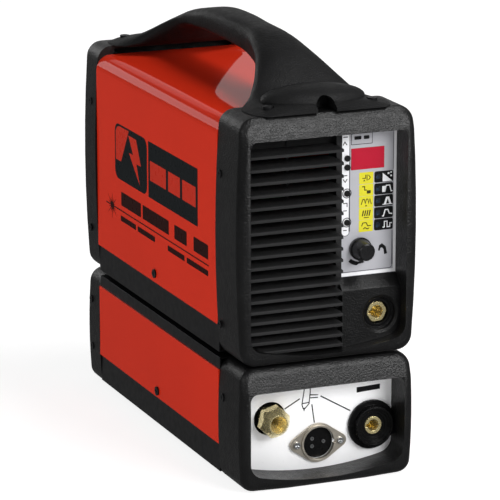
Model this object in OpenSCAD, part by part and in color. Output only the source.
// TIG welding machine: an inverter unit stacked on a gas and high-frequency unit.
// X points right seen from the front, Y to the back, Z up. The origin is the centre of the base.
// Inside the modules Y is measured from the front rim, and place() moves it to the frame.

/* [Overall] */
// Depth of the whole machine, front rim to rear rim
overall_d = 352; // [340:1:365]
// Width across the painted side panels
cover_w = 149.2; // [146:0.2:150]
// Depth of the two front bezels
front_bezel_d = 47.5; // [45:0.5:50]
// Depth of the two rear bezels
rear_bezel_d = 31.4; // [30:0.2:34]
// Thickness of the sheet steel
sheet = 1.2; // [1:0.1:1.5]
// Wall thickness of the moulded bezels
wall = 3; // [2.5:0.5:3.5]

/* [Upper unit] */
// Underside of the upper bezels
upper_z0 = 100; // [99.5:0.5:101]
// Top of the upper bezels, where the handle stands
upper_z1 = 297; // [296:0.5:298]
// Half width of the upper bezels at mid height
upper_half = 76.4; // [76:0.1:77]
// Bottom edge of the painted upper cover
cover_z0 = 124.5; // [123:0.5:126]
// Top of the painted upper cover
cover_z1 = 289.6; // [288:0.2:291]
// Bend radius of the upper cover
cover_r = 13; // [11:0.5:15]

/* [Lower unit] */
// How far the lower bezels reach below the level that heights are measured from
stand = 2.8; // [2.4:0.1:3.2]
// Top of the lower bezels
lower_z1 = 98; // [97.5:0.5:98.5]
// Half width of the lower bezels at mid height
lower_half = 74.4; // [74:0.1:75]
// Bottom and top edges of the painted lower side panels
panel_z0 = 26.2; // [25:0.2:28]
panel_z1 = 87.7; // [86:0.1:89]

/* [Front openings] */
// Half width of both front openings
open_half = 66; // [65:0.5:66.5]
// Bottom and top of the upper front opening
upper_open_z0 = 105; // [104.5:0.5:106]
upper_open_z1 = 279; // [278:0.5:280]
// Bottom and top of the lower front opening
lower_open_z0 = 3.5; // [3:0.5:5]
lower_open_z1 = 78.5; // [78:0.5:79]
// Radius of the shallow arc along the bottom of an opening
sill_r = 262; // [250:1:300]
// Radius of the two lower corners of an opening
low_r = 12; // [8:0.5:14]

/* [Louvres] */
// Number of louvre blades
blades = 18; // [14:1:18]
// Front edge of the blades, behind the rim
blade_y = 6; // [5:0.5:8]
// Depth of a blade
blade_d = 22; // [18:1:24]
// Lower edge of the first blade
blade_top = 264.2; // [263:0.1:266]
// Pitch of the first two blades
blade_pitch = 10.35; // [10:0.05:10.5]
// Right end of the blades
grille_x1 = 14.5; // [14:0.5:15]

/* [Control panel] */
// Front face of the control panel, behind the rim
panel_y = 20; // [18:0.5:21]
// Bottom edge of the control panel
ctrl_z0 = 160; // [158:0.5:162]
// Diameter of the knob at its base
knob_d = 18.4; // [17:0.2:19]
// Length of the knob
knob_len = 14; // [12:0.5:14.5]
// Travel of a push button
button_travel = 0.8; // [0.5:0.1:0.9]

/* [Connectors] */
// Bore of the positive output socket
pos_bore_d = 10.5; // [9:0.1:13]
// Bore of the negative output socket
neg_bore_d = 9.2; // [9:0.1:13]
// Front face of the connector plate, behind the rim
plate_y = 25; // [23:0.5:26]
// Bore of the gas outlet
gas_bore_d = 5; // [4:0.5:6]
// Distance between the two screws of the control socket
ctrl_pitch = 37.4; // [37:0.1:38.4]

/* [Handle] */
// Half width of the grip
grip_half = 15.5; // [14:0.5:17]
// Highest point of the grip
grip_z1 = 344.5; // [342:0.5:346]

/* [Hidden] */
$fn = 48;

back_y0 = overall_d - rear_bezel_d;
cover_half = cover_w / 2;
base_bulge = 1;
lower_z0 = base_bulge - stand;
corner_r = 13;
base_r = 11;
rim_r = 6.5;
tray_half = cover_half - sheet - 0.1;
link_x = [-52, 52];
link_y = [80, 288];

// Control panel layout
display_x = [26.8, 55.2];
display_z = [245.5, 262.7];
button_x = 23.4;
button_z = [255.4, 248.2, 227.3, 203.9];
button_d = 4.8;
led_x = 49.4;
led_z0 = 198.6;
led_pitch = 9.85;
led_count = 5;
knob_x = 34.7;
knob_z = 181.9;
knob_y0 = panel_y - 1 - knob_len;
shaft_d = 6;
running = 0.05;
board_y = panel_y + 7;

// Connector layout, [x, z]
pos_at = [49, 129.4];
gas_at = [-39.5, 49.3];
gas_hole_d = 27.2;
gas_hex_d = 26.4;
gas_hex_len = 13.5;
gas_nose_y = 7;
ctrl_at = [1.4, 25.1];
ctrl_hole_d = 26.2;
neg_at = [47.7, 35];
pos_y = 18;
neg_y = 19.5;
boss_y = 11;
boss_z = 151;

// Rear layout, [x, z]
rear_panel_y = overall_d - 14;
fan_at = [-14, 188];
fan_size = 92;
fan_d = 25;
switch_at = [44, 258];
gland_at = [46, 134];
inlet_at = [-36, 48];

// ---- helpers -------------------------------------------------------------------

module place() translate([0, -overall_d / 2, stand]) children();

// A drawing in X and Z, extruded from y0 towards the back
module along_y(y0, len)
    translate([0, y0, 0]) rotate([90, 0, 0]) mirror([0, 0, 1]) linear_extrude(len) children();

// A drawing in Y and Z, extruded from x0 to the right
module along_x(x0, len)
    translate([x0, 0, 0]) rotate([90, 0, 90]) linear_extrude(len) children();

// A cylinder along Y
module rod_y(at, y0, d, len)
    translate([at[0], y0, at[1]]) rotate([-90, 0, 0]) cylinder(d = d, h = len);

// A cone along Y, d1 at the front
module cone_y(at, y0, d1, d2, len)
    translate([at[0], y0, at[1]]) rotate([-90, 0, 0]) cylinder(d1 = d1, d2 = d2, h = len);

module rounded_rect(x0, z0, x1, z1, r) {
    translate([x0 + r, z0]) square([x1 - x0 - 2 * r, z1 - z0]);
    translate([x0, z0 + r]) square([x1 - x0, z1 - z0 - 2 * r]);
    for (x = [x0 + r, x1 - r], z = [z0 + r, z1 - r])
        translate([x, z]) circle(r);
}

// Points along an arc from angle a0 to a1
function arc(at, r, a0, a1, n) =
    [for (i = [0 : n]) let (a = a0 + (a1 - a0) * i / n) [at[0] + r * cos(a), at[1] + r * sin(a)]];

// Outline of an opening: a shallow arc along the sill, run into the sides by low_r
module opening(half, z0, z1, r) {
    lean = asin((half - low_r) / (sill_r - low_r));
    low_z = z0 + sill_r - (sill_r - low_r) * cos(lean);
    sill = arc([0, z0 + sill_r], sill_r, 270 - lean, 270 + lean, 20);
    polygon(concat(
        [for (i = [1 : 19]) sill[i]],
        arc([half - low_r, low_z], low_r, 270 + lean, 360, 6),
        arc([half - r, z1 - r], r, 0, 90, 6),
        arc([r - half, z1 - r], r, 90, 180, 6),
        arc([low_r - half, low_z], low_r, 180, 270 - lean, 6)
    ));
}

// Outline of a bezel with barrel sides, drawn in by cut all round. foot_r and bulge shape its foot
function bezel_ring(half, sag, z0, z1, cut, y, foot_r, bulge) =
    let (cx = half - sag - corner_r, zb = z0 + foot_r, zt = z1 - corner_r, r = corner_r - cut,
         bx = half - sag - foot_r,
         side = [for (k = [1 : 5]) let (t = k / 3 - 1)
             [half - sag * t * t - cut, zb + (zt - zb) * k / 6]],
         outline = concat(
             side, arc([cx, zt], r, 0, 90, 7), arc([-cx, zt], r, 90, 180, 7),
             [for (k = [4 : -1 : 0]) [-side[k][0], side[k][1]]],
             arc([-bx, zb], foot_r - cut, 180, 270, 7),
             [for (t = [-0.8, -0.55, 0.55, 0.8])
                 [t * bx, z0 + cut - bulge * min(1, (1 - abs(t)) / 0.45)]],
             arc([bx, zb], foot_r - cut, 270, 360, 7)))
    [for (p = outline) [p[0], y, p[1]]];

// The solid between rings of equal length, closed at both ends
module loft(rings) {
    n = len(rings[0]);
    last = (len(rings) - 1) * n;
    sides = [for (j = [0 : len(rings) - 2], k = [0 : n - 1])
        let (a = j * n + k, b = j * n + (k + 1) % n) each [[a, b, b + n], [a, b + n, a + n]]];
    ends = [[for (k = [0 : n - 1]) n - 1 - k], [for (k = [0 : n - 1]) last + k]];
    polyhedron([for (r = rings) each r], concat(sides, ends), convexity = 6);
}

// The block of a front bezel, its rim rounded with rim_r
module bezel_block(half, sag, z0, z1, depth, foot_r, bulge)
    loft(concat(
        [for (a = [90 : -15 : 0])
            bezel_ring(half, sag, z0, z1, rim_r * (1 - cos(a)), rim_r * (1 - sin(a)),
                       foot_r, bulge)],
        [bezel_ring(half, sag, z0, z1, 0, depth, foot_r, bulge)]
    ));

// A hollow bezel: block, through opening, and channels behind the rim
module bezel(half, sag, z0, z1, depth, oz0, oz1, foot_r = corner_r, bulge = 0) {
    difference() {
        bezel_block(half, sag, z0, z1, depth, foot_r, bulge);
        along_y(-1, depth + 2) opening(open_half, oz0, oz1, 6);
        for (s = [-1, 1])
            translate([s * (open_half + wall + 1.6) - 1.6, 9, z0 + 24])
                cube([3.2, depth, z1 - z0 - 48]);
        translate([-open_half + 8, 9, oz1 + wall])
            cube([2 * open_half - 16, depth, z1 - oz1 - 2 * wall]);
    }
}

// Turns a front bezel into a rear one
module at_rear() translate([0, overall_d, 0]) mirror([0, 1, 0]) children();

// A pan-head screw whose shank points along +Y
module screw_y(d, head_d, head_h, len) rotate([-90, 0, 0]) difference() {
    union() {
        cylinder(d = head_d, h = head_h);
        cylinder(d = d, h = head_h + len);
    }
    for (a = [0, 90]) rotate(a)
        translate([-head_d * 0.3, -head_d * 0.06, -1]) cube([head_d * 0.6, head_d * 0.12, 1.6]);
}

// A screw in the left or right side, with its head on the face at x = s * half
module side_screw(s, half, y, z, d, head_d, head_h, len)
    translate([s * (half + head_h), y, z]) rotate(s > 0 ? 90 : -90) screw_y(d, head_d, head_h, len);

// ---- upper unit: casing ---------------------------------------------------------

module upper_front_bezel() place() color("#2a2a2c")
    bezel(upper_half, 2.9, upper_z0, upper_z1, front_bezel_d, upper_open_z0, upper_open_z1);

module upper_rear_bezel() place() color("#2a2a2c")
    at_rear()
        bezel(upper_half, 2.9, upper_z0, upper_z1, rear_bezel_d, upper_open_z0 + 4, upper_open_z1);

module cover_outline(inset)
    intersection() {
        rounded_rect(-cover_half + inset, 0, cover_half - inset, cover_z1 - inset,
                     cover_r - inset);
        translate([-100, cover_z0]) square([200, 300]);
    }

module upper_cover() place() color("#b8371f") difference() {
    along_y(front_bezel_d, back_y0 - front_bezel_d) difference() {
        cover_outline(0);
        translate([0, -1]) cover_outline(sheet);
        translate([-cover_half + sheet, cover_z0 - 1]) square([2 * (cover_half - sheet), 30]);
    }
    for (s = [-1, 1])
        translate([s * cover_half, cover_screw_y, cover_screw_z]) rotate([0, 90, 0])
            cylinder(d = 3.4, h = 10, center = true);
}
cover_screw_y = 185;
cover_screw_z = 132;

// Folded steel tray: floor and two flanges
module tray(half, z0, flange_z) difference() {
    along_y(front_bezel_d, back_y0 - front_bezel_d) difference() {
        translate([-half, z0]) square([2 * half, flange_z - z0]);
        translate([-half + sheet, z0 + sheet]) square([2 * (half - sheet), flange_z - z0]);
    }
    for (x = link_x, y = link_y) translate([x, y, z0 - 1]) cylinder(d = 5.4, h = 6);
}

module upper_tray() place() color("#202124") difference() {
    tray(tray_half, 102, 142);
    for (s = [-1, 1])
        translate([s * tray_half, cover_screw_y, cover_screw_z]) rotate([0, 90, 0])
            cylinder(d = 3, h = 10, center = true);
}

// ---- upper unit: louvred air intake --------------------------------------------

function blade_z(i) = blade_top - blade_pitch * i + 0.073 * i * (i - 1);

module blade_profile() polygon([
    [0, 0], [1.4, 0], [blade_d, 2.4], [blade_d, 3.8], [1.8, 2.4], [0.5, 2.2], [0, 1.6]
]);

module front_grille() place() color("#262628") intersection() {
    union() {
        for (i = [0 : blades - 1]) translate([0, blade_y, blade_z(i)])
            along_x(-open_half, grille_x1 + open_half) blade_profile();
        translate([-open_half, blade_y + 3, 100]) cube([1.6, blade_d + 2, 180]);
        translate([grille_x1 - 1, blade_y + 12, 100]) cube([2.5, blade_d - 7, 180]);
        translate([grille_x1 + 1, blade_y + 12, ctrl_z0 + 0.3])
            cube([panel_x0 - grille_x1 - 1.2, 4, 118]);
        translate([-open_half, blade_y + blade_d - 2, blade_top + 2.4])
            cube([open_half + grille_x1, 2, 30]);
        translate([-26, blade_y + blade_d - 3, 100]) cube([2, 4, 180]);
    }
    along_y(0, 60) opening(open_half, upper_open_z0, upper_open_z1, 6);
}

// ---- upper unit: control panel ---------------------------------------------------

boss_x0 = grille_x1 + 1.5;
panel_x0 = grille_x1 + 4;

module socket_boss() place() color("#262628") difference() {
    intersection() {
        along_x(boss_x0, open_half - boss_x0) polygon([
            [boss_y, 100], [boss_y, boss_z], [panel_y, ctrl_z0],
            [panel_y + 2, ctrl_z0], [panel_y + 2, 100]
        ]);
        along_y(0, 60) opening(open_half, upper_open_z0, upper_open_z1, 6);
    }
    rod_y(pos_at, boss_y - 1, 27, pos_y - 1 - boss_y);
    cone_y(pos_at, boss_y - 0.01, 31, 27, 1.6);
    rod_y(pos_at, boss_y, 24, 30);
}

module control_panel() place() color("#c3c3cb") difference() {
    intersection() {
        translate([panel_x0, panel_y, ctrl_z0]) cube([60, 2, 130]);
        along_y(0, 60) opening(open_half, upper_open_z0, upper_open_z1, 6);
    }
    translate([display_x[0], 0, display_z[0]])
        cube([display_x[1] - display_x[0], 60, display_z[1] - display_z[0]]);
    for (z = button_z) rod_y([button_x, z], 0, button_d + 0.6, 60);
    for (k = [0 : led_count - 1]) rod_y([led_x, led_z0 + led_pitch * k], 0, 2.4, 60);
    rod_y([knob_x, knob_z], 0, 8, 60);
}

module display_window() place() color("#c8203a")
    translate([display_x[0], panel_y - 0.4, display_z[0]])
        cube([display_x[1] - display_x[0], 2, display_z[1] - display_z[0]]);

module indicator_leds() place() color("#3d6b3d")
    for (k = [0 : led_count - 1]) {
        at = [led_x, led_z0 + led_pitch * k];
        rod_y(at, panel_y - 0.3, 2.4, 3);
        rod_y(at, panel_y + 2.7, 3, board_y - panel_y - 2.7);
    }

// Printed board with three display modules and the four key switches
module display_board() place() color("#1f5b3a") {
    translate([boss_x0 + 1, board_y, ctrl_z0 + 3]) cube([47, 1.6, 113]);
    for (k = [0 : 2])
        translate([display_x[0] + 1 + 9 * k, panel_y + 2.4, display_z[0] + 1])
            cube([8.4, board_y - panel_y - 2.4, 15]);
    for (z = button_z) translate([button_x - 2.6, board_y - 0.7, z - 2.6]) cube([5.2, 0.7, 5.2]);
    translate([52, board_y + 1.6, 170]) cube([10, 6, 24]);
}

module push_button(k) place() color("#151515") {
    at = [button_x, button_z[k]];
    rod_y(at, panel_y - 1.6, button_d, 6);
    rod_y(at, panel_y + 3.1, button_d + 1.4, 1.2);
}

module button_1() push_button(0);
module button_2() push_button(1);
module button_3() push_button(2);
module button_4() push_button(3);

// Tapered knob with a skirt, a pointer rib and finger flutes
module encoder_knob() place() color("#2c2c2e") {
    at = [knob_x, knob_z];
    difference() {
        union() {
            rod_y(at, knob_y0 + knob_len - 2, knob_d, 2);
            cone_y(at, knob_y0 + 1.2, 14, 16.6, knob_len - 3.2);
            cone_y(at, knob_y0, 11.8, 14, 1.2);
            translate([knob_x, knob_y0 + 0.6, knob_z]) rotate([0, 215, 0])
                translate([-1, 0, 0]) cube([2, knob_len - 2.6, 9]);
        }
        for (a = [0 : 30 : 359]) translate([knob_x, 0, knob_z]) rotate([0, a + 20, 0])
            translate([9.2, knob_y0 - 1, 0]) rotate([-86, 0, 0]) cylinder(d = 2.2, h = knob_len - 1.5);
        rod_y(at, knob_y0 + 3, shaft_d, knob_len);
    }
}

module encoder_shaft() place() color("#c8c8c8")
    rod_y([knob_x, knob_z], knob_y0 + 3, shaft_d, board_y - 0.6 - knob_y0 - 3);

module encoder_body() place() color("#9a9a9a") difference() {
    at = [knob_x, knob_z];
    union() {
        rod_y(at, panel_y - 0.6, 8, 3);
        translate([knob_x - 6.3, panel_y + 2, knob_z - 6.3]) cube([12.6, board_y - panel_y - 2, 12.6]);
    }
    rod_y(at, panel_y - 1, shaft_d + 2 * running, board_y - panel_y + 0.8);
}

// ---- output sockets ---------------------------------------------------------------

// Brass contact with a blind plug bore, a bayonet slot and a rear stud
module socket_contact(at, y0, od, bore) color("#c9a24a") {
    difference() {
        union() {
            rod_y(at, y0, od, 28);
            rod_y(at, y0 + 28, 8, 14);
        }
        rod_y(at, y0 - 1, bore, 25);
        translate([at[0] - bore / 2 - 1.6, y0 - 1, at[1] - 1.3]) cube([4, 11, 2.6]);
    }
}

module positive_insulator() place() color("#111112") difference() {
    union() {
        rod_y(pos_at, boss_y + 5, 24, 26);
        rod_y(pos_at, panel_y + 2.2, 27, 5);
    }
    rod_y(pos_at, boss_y + 4, 18.4, 7);
    rod_y(pos_at, boss_y, 15.1, 50);
}

module positive_contact() place() {
    socket_contact(pos_at, pos_y, 15.1, pos_bore_d);
    color("#c9a24a") difference() {
        translate([pos_at[0], pos_y, pos_at[1]]) rotate([-90, 56, 0])
            intersection() {
                cylinder(d = 18, h = 4, $fn = 6);
                cylinder(d1 = 16.4, d2 = 24, h = 4);
            }
        rod_y(pos_at, pos_y - 1, 15, 6);
    }
}

module negative_insulator() place() color("#111112") difference() {
    union() {
        intersection() {
            rod_y(neg_at, plate_y - 3.4, 40.3, 3.4);
            translate([-open_half, 0, 0]) cube([2 * open_half, plate_y, lower_z1]);
        }
        rod_y(neg_at, plate_y - 10, 32, 26);
        rod_y(neg_at, plate_y + 2.1, 36, 5);
    }
    rod_y(neg_at, plate_y - 11, 28.6, 3.2);
    rod_y(neg_at, plate_y - 11, 25, 4.8);
    rod_y(neg_at, plate_y - 11, 20.5, 6.4);
    rod_y(neg_at, plate_y - 11, 14.6, 50);
}

module negative_contact() place() socket_contact(neg_at, neg_y, 14.6, neg_bore_d);

// ---- handle -----------------------------------------------------------------------

// Catmull-Rom curve through [[y, value], ...]
function seg(p, y, i = 0) = (i >= len(p) - 2 || y < p[i + 1][0]) ? i : seg(p, y, i + 1);
function slope(p, i) =
    let (a = max(i - 1, 0), b = min(i + 1, len(p) - 1)) (p[b][1] - p[a][1]) / (p[b][0] - p[a][0]);
function smooth(p, y) =
    let (i = seg(p, y), h = p[i + 1][0] - p[i][0], t = (y - p[i][0]) / h)
    (2 * t * t * t - 3 * t * t + 1) * p[i][1] + (t * t * t - 2 * t * t + t) * h * slope(p, i)
    + (3 * t * t - 2 * t * t * t) * p[i + 1][1] + (t * t * t - t * t) * h * slope(p, i + 1);

g = grip_half;
foot_curve = [
    [5, 50], [10, 55.5], [22, 59], [36, 59], [47, 53], [58, 44], [74, 32], [92, 22.5],
    [112, 17], [135, g], [180, g + 1], [240, g + 1], [268, g + 0.5], [284, 19],
    [296, 33], [306, 50], [316, 58], [330, 60], [341, 56], [346, 49]
];
body_curve = [
    [5, 46], [10, 50.5], [22, 51.8], [36, 51], [47, 46.3], [58, 42], [74, 33.4], [92, 25.4],
    [112, 20.5], [135, g], [180, g + 1], [240, g + 1], [268, g + 0.5], [284, 19],
    [296, 32], [306, 47], [316, 53], [330, 55], [341, 52], [346, 46]
];
top_curve = [
    [5, 300], [10, 303], [22, 304.6], [40, 306], [60, 319.2], [80, 330.8], [102, 338.3],
    [125, 342.7], [150, 343.7], [180, grip_z1], [215, 343.5], [245, 338.5], [270, 332.6],
    [292, 323.2], [312, 310.6], [330, 304.6], [341, 302], [346, 299.4]
];
low_curve = [
    [5, 297], [48, 297], [60, 297.6], [76, 300.5], [92, 306], [108, 311.5], [127, 317],
    [146, 320.5], [200, 322.5], [262, 321], [280, 316.5], [292, 307], [300, 299.5],
    [308, 297], [346, 297]
];
handle_y0 = 5;
handle_y1 = 346;
handle_rings = 54;
ring_points = 40;
skirt_part = 0.45;

function signed_pow(v, e) = sign(v) * pow(abs(v), e);

// Feet have a bell-shaped section with a thin flat skirt, the grip a rounded one
function handle_ring(y) =
    let (foot = smooth(foot_curve, y), w = smooth(body_curve, y), zt = smooth(top_curve, y),
         zb = smooth(low_curve, y), spread = min(1, max(0, (foot - 20) / 32)),
         low = (zt - zb) * (0.42 - 0.36 * spread), e_top = 0.72 + 0.36 * spread)
    [for (k = [0 : ring_points - 1])
        let (a = 360 * k / ring_points, c = cos(a), s = sin(a),
             skirt = s > 0 ? pow(max(0, 1 - s / skirt_part), 2) : 1)
        [(w + (foot - w) * skirt) * signed_pow(c, 0.72), y,
         zb + low + (s > 0 ? (zt - zb - low) * pow(s, e_top) : -low * pow(-s, 0.45))]];

module handle_body() loft([for (j = [0 : handle_rings])
    handle_ring(handle_y0 + (handle_y1 - handle_y0) * j / handle_rings)]);

handle_screw_x = 44;
handle_screw_y = [19, 333];
handle_screw_z = 300.6;
handle_head_h = 2.2;

module handle() place() color("#2b2b2d") difference() {
    union() {
        handle_body();
        // Hood over the arched notch at the front
        translate([0, 34, 303]) resize([86, 50, 22]) sphere(10, $fn = 40);
    }
    translate([-100, -1, 280]) cube([200, 400, 17]);
    // Arched notch
    rod_y([0, 301], -1, 16, 26);
    translate([-8, -1, 290]) cube([16, 26, 11]);
    for (s = [-1, 1], y = handle_screw_y)
        translate([s * handle_screw_x, y, handle_screw_z]) cylinder(d = 9.4, h = 30);
}

// Screws through the handle feet into the bezels
module handle_screws() place() color("#808488")
    for (s = [-1, 1], y = handle_screw_y)
        translate([s * handle_screw_x, y, handle_screw_z + handle_head_h])
            rotate([-90, 0, 0]) screw_y(3, 8, handle_head_h, 1);

// ---- upper unit: rear ----------------------------------------------------------------

module upper_rear_panel() place() color("#232326") difference() {
    along_y(rear_panel_y, 2) opening(open_half, upper_open_z0 + 4, upper_open_z1, 6);
    rod_y(fan_at, rear_panel_y - 1, fan_size - 6, 10);
    for (sx = [-1, 1], sz = [-1, 1])
        rod_y([fan_at[0] + sx * 41.25, fan_at[1] + sz * 41.25], rear_panel_y - 1, 4.4, 10);
    translate([switch_at[0] - 13.5, rear_panel_y - 1, switch_at[1] - 9.5]) cube([27, 10, 19]);
    rod_y(gland_at, rear_panel_y - 1, 20, 10);
}

module fan_housing() place() color("#18181a") {
    y0 = rear_panel_y - fan_d;
    difference() {
        along_y(y0, fan_d) translate(fan_at)
            rounded_rect(-fan_size / 2, -fan_size / 2, fan_size / 2, fan_size / 2, 6);
        rod_y(fan_at, y0 - 1, fan_size - 5, fan_d + 2);
        for (sx = [-1, 1], sz = [-1, 1])
            rod_y([fan_at[0] + sx * 41.25, fan_at[1] + sz * 41.25], y0 - 1, 4.4, fan_d + 2);
    }
    rod_y(fan_at, y0, 36, 4);
    rod_y(fan_at, y0 + 4, 4, fan_d - 11);
    for (a = [45 : 90 : 359]) translate([fan_at[0], y0, fan_at[1]]) rotate([0, a, 0])
        translate([16, 0, -2]) cube([29, 3, 4]);
}

module fan_rotor() place() color("#262629") {
    y0 = rear_panel_y - fan_d + 4.6;
    translate([fan_at[0], y0, fan_at[1]]) rotate([-90, 0, 0]) difference() {
        union() {
            cylinder(d = 34, h = 17);
            intersection() {
                for (a = [0 : 360 / 7 : 359]) rotate(a)
                    translate([8, 0, 8.5]) rotate([38, 0, 0])
                        translate([0, -9.5, -0.8]) cube([36, 19, 1.6]);
                difference() {
                    cylinder(d = fan_size - 8, h = 17);
                    cylinder(d = 30, h = 40, center = true);
                }
            }
        }
        translate([0, 0, -1]) cylinder(d = 4 + 2 * running, h = 16);
    }
}

// Wire finger guard
module fan_guard() place() color("#8f9296") {
    for (d = [22 : 12 : 82]) translate([fan_at[0], rear_panel_y + 3.6, fan_at[1]])
        rotate([90, 0, 0]) rotate_extrude() translate([d / 2, 0]) circle(0.9, $fn = 16);
    for (a = [45, 135]) translate([fan_at[0], rear_panel_y + 2.7, fan_at[1]]) rotate([0, a, 0])
        translate([-58.3, 0, -0.9]) cube([116.6, 1.6, 1.8]);
    for (sx = [-1, 1], sz = [-1, 1])
        rod_y([fan_at[0] + sx * 41.25, fan_at[1] + sz * 41.25], rear_panel_y, 4.3, 6);
}

rocker_tilt = 8;
rocker_pin_d = 3;

module switch_frame() place() color("#121213") difference() {
    union() {
        translate([switch_at[0] - 15.5, rear_panel_y + 2, switch_at[1] - 11.5]) cube([31, 2, 23]);
        translate([switch_at[0] - 13.4, rear_panel_y - 16, switch_at[1] - 9.4]) cube([26.8, 18.2, 18.8]);
    }
    translate([switch_at[0] - 11, rear_panel_y - 10, switch_at[1] - 8]) cube([22, 20, 16]);
    translate([switch_at[0] - 12.7, rear_panel_y - 3, switch_at[1]]) rotate([0, 90, 0])
        cylinder(d = rocker_pin_d + 2 * running, h = 25.4);
}

// Rocker on two pivot pins along X, resting tilted to its off side
module switch_rocker() place() color("#a31c14")
    translate([switch_at[0], rear_panel_y - 3, switch_at[1]]) rotate([-rocker_tilt, 0, 0]) {
        along_x(-10.6, 21.2) polygon([
            [0, -6], [7.6, -6.4], [5.8, 0], [7.6, 6.4], [0, 6], [-4, 3], [-4, -3]
        ]);
        translate([-12.6, 0, 0]) rotate([0, 90, 0]) cylinder(d = rocker_pin_d, h = 25.2);
    }

module cable_gland() place() color("#151517") difference() {
    union() {
        rod_y(gland_at, rear_panel_y - 8, 20, 10);
        rod_y(gland_at, rear_panel_y + 2, 26, 5);
        cone_y(gland_at, rear_panel_y + 7, 24, 17, 6);
    }
    rod_y(gland_at, rear_panel_y - 10, 9, 40);
}

// ---- upper unit: power electronics -----------------------------------------------------

module power_board() place() color("#2c6b45") {
    translate([-62, 70, 205]) cube([124, 190, 1.8]);
    for (x = [-50, -20, 10]) translate([x, 84, 206.8]) cube([18, 12, 14]);
    for (x = [-58, 54], y = [96, 250]) translate([x, y, 103.2]) cube([4, 4, 101.8]);
}

module capacitors() place() color("#22304f")
    for (k = [0 : 2]) translate([-38 + 38 * k, 222, 206.8]) cylinder(d = 32, h = 50);

// Two finned extrusions hanging under the board
module heat_sinks() place() color("#b4b6b8")
    for (s = [-1, 1]) translate([s * 28, 108, 0]) {
        translate([-22, 0, 199]) cube([44, 140, 6]);
        for (k = [0 : 8]) translate([-22 + 5.25 * k, 0, 160]) cube([2, 140, 39]);
    }

module transformer() place() color("#5a3a22") {
    translate([-45, 120, 103.2]) cube([40, 52, 12]);
    translate([-45, 120, 143.2]) cube([40, 52, 12]);
    for (y = [120, 162]) translate([-45, y, 115.2]) cube([40, 10, 28]);
    translate([-25, 146, 115.2]) cylinder(d = 30, h = 28);
}

module output_choke() place() color("#8a4a1f")
    translate([26, 150, 103.2]) {
        translate([0, 0, 14]) rotate_extrude() translate([19, 0]) circle(8);
        difference() {
            cylinder(d = 50, h = 8);
            translate([0, 0, -1]) cylinder(d = 24, h = 10);
        }
    }

// ---- lower unit: casing --------------------------------------------------------------

module lower_front_bezel() place() color("#2a2a2c")
    bezel(lower_half, 1.3, lower_z0, lower_z1, front_bezel_d, lower_open_z0, lower_open_z1,
          base_r, base_bulge);

module lower_rear_bezel() place() color("#2a2a2c")
    at_rear()
        bezel(lower_half, 1.3, lower_z0, lower_z1, rear_bezel_d, lower_open_z0, lower_open_z1,
          base_r, base_bulge);

lower_screw_y = 182;
lower_screw_z = 32;

module side_panel(s) place() color("#a8301f") difference() {
    translate([s * (lower_panel_half - sheet / 2), 0, 0])
        translate([-sheet / 2, front_bezel_d, panel_z0])
            cube([sheet, back_y0 - front_bezel_d, panel_z1 - panel_z0]);
    translate([s * lower_panel_half, lower_screw_y, lower_screw_z]) rotate([0, 90, 0])
        cylinder(d = 3.4, h = 10, center = true);
}
lower_panel_half = lower_half - 0.3;

module lower_panel_left() side_panel(-1);
module lower_panel_right() side_panel(1);

module lower_tray() place() color("#202124") difference() {
    tray(lower_panel_half - sheet - 0.1, 3, 42);
    for (s = [-1, 1])
        translate([s * lower_panel_half, lower_screw_y, lower_screw_z]) rotate([0, 90, 0])
            cylinder(d = 3, h = 10, center = true);
}

// Top deck of the lower unit: a plate with turned-down flanges
module lower_deck() place() color("#202124") difference() {
    along_y(front_bezel_d, back_y0 - front_bezel_d) difference() {
        translate([-lower_panel_half + sheet + 0.1, 76]) square([2 * (lower_panel_half - sheet - 0.1), 21]);
        translate([-lower_panel_half + 2 * sheet + 0.1, 75])
            square([2 * (lower_panel_half - 2 * sheet - 0.1), 22 - sheet]);
    }
    for (x = link_x, y = link_y) translate([x, y, 90]) cylinder(d = 5.4, h = 20);
}

module unit_spacers() place() color("#141414")
    for (x = link_x, y = link_y) translate([x, y, 97]) difference() {
        cylinder(d = 18, h = 5);
        translate([0, 0, -1]) cylinder(d = 5.4, h = 10);
    }

module link_screws() place() color("#b0b2b4")
    for (x = link_x, y = link_y) translate([x, y, 0]) {
        translate([0, 0, 103.2]) cylinder(d = 10, h = 3.2, $fn = 6);
        translate([0, 0, 91.2]) cylinder(d = 5, h = 12);
        translate([0, 0, 92.8]) cylinder(d = 10, h = 3, $fn = 6);
    }

// ---- lower unit: connectors -------------------------------------------------------------

module connector_plate() place() color("#f2f2f4") difference() {
    along_y(plate_y, 2) opening(open_half, lower_open_z0, lower_open_z1, 6);
    rod_y(gas_at, plate_y - 1, gas_hole_d, 10);
    rod_y(ctrl_at, plate_y - 1, ctrl_hole_d, 10);
    rod_y(neg_at, plate_y - 1, 32, 10);
    for (s = [-1, 1]) rod_y([ctrl_at[0] + s * ctrl_pitch / 2, ctrl_at[1]], plate_y - 1, 2.9, 10);
}

module gas_cup() place() color("#0e0e0f") difference() {
    rod_y(gas_at, plate_y + 2, 31, 11);
    rod_y(gas_at, plate_y + 1, gas_hole_d, 10);
    rod_y(gas_at, plate_y + 1, 12, 30);
}

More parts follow.
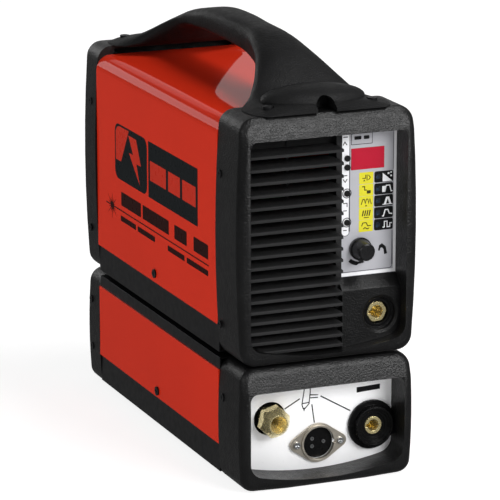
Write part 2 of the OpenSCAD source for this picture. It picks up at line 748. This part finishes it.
// Brass outlet: hexagon, round nose with a conical seat, threaded tail
module gas_fitting() place() color("#c9a24a") difference() {
    union() {
        translate([gas_at[0], gas_nose_y, gas_at[1]]) rotate([-90, 44, 0])
            intersection() {
                cylinder(d = gas_hex_d, h = gas_hex_len, $fn = 6);
                cylinder(d1 = 15.6, d2 = 33.6, h = gas_hex_len);
            }
        rod_y(gas_at, gas_nose_y + gas_hex_len - 1, 17, plate_y + 5 - gas_nose_y - gas_hex_len);
        rod_y(gas_at, plate_y + 3, 12, 21);
    }
    cone_y(gas_at, gas_nose_y - 0.01, 14, gas_bore_d, 10.5);
    rod_y(gas_at, gas_nose_y + 9, gas_bore_d, 50);
}

// Diamond flange: a disc, two ears and the straight sides tangent to them
module diamond(r1, r2, pitch) {
    d = pitch / 2;
    a = acos((r1 - r2) / d);
    circle(r1);
    for (s = [-1, 1]) {
        translate([s * d, 0]) circle(r2);
        polygon([
            [0, r1 * 0.4], [s * r1 * cos(a), r1 * sin(a)], [s * (d + r2 * cos(a)), r2 * sin(a)],
            [s * (d + r2 * cos(a)), -r2 * sin(a)], [s * r1 * cos(a), -r1 * sin(a)], [0, -r1 * 0.4]
        ]);
    }
}

module control_socket_flange() place() color("#bdb3a3") difference() {
    union() {
        along_y(plate_y - 2.2, 2.2) translate(ctrl_at) diamond(16, 5.5, ctrl_pitch);
        rod_y(ctrl_at, plate_y - 3.6, 29.4, 2);
    }
    rod_y(ctrl_at, plate_y - 4, ctrl_hole_d, 10);
    translate([ctrl_at[0] + 12, plate_y - 4, ctrl_at[1] - 1.4]) cube([3, 10, 2.8]);
    for (s = [-1, 1]) rod_y([ctrl_at[0] + s * ctrl_pitch / 2, ctrl_at[1]], plate_y - 4, 2.9, 10);
}

pin_ring_r = 5.4;
pin_angles = [145, 215, 0];

module control_socket_insert() place() color("#161616") difference() {
    union() {
        rod_y(ctrl_at, plate_y + 0.4, ctrl_hole_d - 0.2, 15);
        rod_y(ctrl_at, plate_y + 2.1, 30, 4);
    }
    for (a = pin_angles)
        rod_y([ctrl_at[0] + pin_ring_r * cos(a), ctrl_at[1] + pin_ring_r * sin(a)],
              plate_y - 1, 3, 30);
}

module control_socket_pins() place() color("#cfc9b8")
    for (a = pin_angles) {
        at = [ctrl_at[0] + pin_ring_r * cos(a), ctrl_at[1] + pin_ring_r * sin(a)];
        difference() {
            rod_y(at, plate_y, 3, 22);
            rod_y(at, plate_y - 1, 1.6, 10);
        }
    }

module control_socket_screws() place() color("#a8a8a6")
    for (s = [-1, 1]) translate([ctrl_at[0] + s * ctrl_pitch / 2, plate_y - 4, ctrl_at[1]])
        screw_y(2.9, 5.4, 1.8, 9);

// ---- lower unit: rear and inside ------------------------------------------------------

module lower_rear_panel() place() color("#232326") difference() {
    along_y(rear_panel_y, 2) opening(open_half, lower_open_z0, lower_open_z1, 6);
    rod_y(inlet_at, rear_panel_y - 1, 12, 10);
    for (k = [0 : 5])
        translate([4 + 9 * k, rear_panel_y - 1, 26]) cube([4, 10, 40]);
}

// Barbed inlet for the gas hose
module gas_inlet() place() color("#c9a24a") difference() {
    union() {
        rod_y(inlet_at, rear_panel_y - 14, 12, 16);
        translate([inlet_at[0], rear_panel_y + 2, inlet_at[1]]) rotate([-90, 0, 0])
            cylinder(d = 17, h = 3, $fn = 6);
        rod_y(inlet_at, rear_panel_y + 4, 7, 4);
        for (k = [0 : 1]) cone_y(inlet_at, rear_panel_y + 7 + 2.6 * k, 9, 6.6, 2.6);
    }
    rod_y(inlet_at, rear_panel_y - 20, gas_bore_d, 50);
}

valve_at = [-36, 48];
valve_y = 236;

module gas_valve() place() color("#3a3d42") difference() {
    union() {
        translate([valve_at[0] - 14, valve_y, valve_at[1] - 12]) cube([28, 34, 24]);
        translate([valve_at[0], valve_y + 17, valve_at[1] + 12]) cylinder(d = 22, h = 20);
    }
    translate([valve_at[0], valve_y + 17, valve_at[1] + 2]) cylinder(d = 8 + 2 * running, h = 27);
}

module valve_plunger() place() color("#c0c2c4")
    translate([valve_at[0], valve_y + 17, valve_at[1] + 2.6]) cylinder(d = 8, h = 24);

module gas_tubes() place() color("#30343a") {
    rod_y(gas_at, plate_y + 24, 8, valve_y - 20 - plate_y - 24);
    translate([gas_at[0], valve_y - 20, gas_at[1]]) sphere(d = 8);
    translate([valve_at[0] - 6, valve_y - 20, valve_at[1] - 4]) cube([12, 20, 8]);
    rod_y(inlet_at, valve_y + 34, 8, rear_panel_y - 14 - valve_y - 34);
}

module hf_board() place() color("#2c6b45") {
    translate([-8, 70, 16]) cube([74, 200, 1.8]);
    for (x = [-8, 62], y = [70, 266]) translate([x, y, 4.2]) cube([4, 4, 11.8]);
    for (k = [0 : 3]) translate([2 + 15 * k, 180, 17.8]) cube([10, 26, 22]);
    translate([14, 226, 17.8]) cube([36, 30, 26]);
}

module hf_coil() place() color("#8a4a1f") {
    rod_y([33, 46], 96, 44, 56);
    rod_y([33, 46], 90, 20, 68);
    for (y = [100, 142]) translate([23, y, 17.8]) cube([20, 6, 10]);
}

// ---- fasteners -------------------------------------------------------------------------

module cover_screws() place() color("#1c1c1e")
    for (s = [-1, 1]) {
        side_screw(s, cover_half, cover_screw_y, cover_screw_z, 3, 7.4, 1.4, 8);
        side_screw(s, lower_panel_half, lower_screw_y, lower_screw_z, 3, 7.4, 1.4, 8);
    }

bezel_screw_upper = [[40, 248], [41, 126.5], [333, 248], [337, 136]];
bezel_screw_lower = [[39, 67], [341, 71], [340, 29]];

module bezel_screws() place() color("#1c1c1e")
    for (s = [-1, 1]) {
        for (p = bezel_screw_upper) side_screw(s, 75.2, p[0], p[1], 3, 6.6, 1, 0.6);
        for (p = bezel_screw_lower) side_screw(s, 74.1, p[0], p[1], 3, 6.6, 0.8, 0.6);
    }

upper_front_bezel();
upper_rear_bezel();
upper_cover();
upper_tray();
front_grille();
socket_boss();
control_panel();
display_window();
indicator_leds();
display_board();
button_1();
button_2();
button_3();
button_4();
encoder_knob();
encoder_shaft();
encoder_body();
positive_insulator();
positive_contact();
handle();
handle_screws();
upper_rear_panel();
fan_housing();
fan_rotor();
fan_guard();
switch_frame();
switch_rocker();
cable_gland();
power_board();
capacitors();
heat_sinks();
transformer();
output_choke();
lower_front_bezel();
lower_rear_bezel();
lower_panel_left();
lower_panel_right();
lower_tray();
lower_deck();
connector_plate();
gas_cup();
gas_fitting();
control_socket_flange();
control_socket_insert();
control_socket_pins();
control_socket_screws();
negative_insulator();
negative_contact();
lower_rear_panel();
gas_inlet();
gas_valve();
valve_plunger();
gas_tubes();
hf_board();
hf_coil();
unit_spacers();
link_screws();
cover_screws();
bezel_screws();
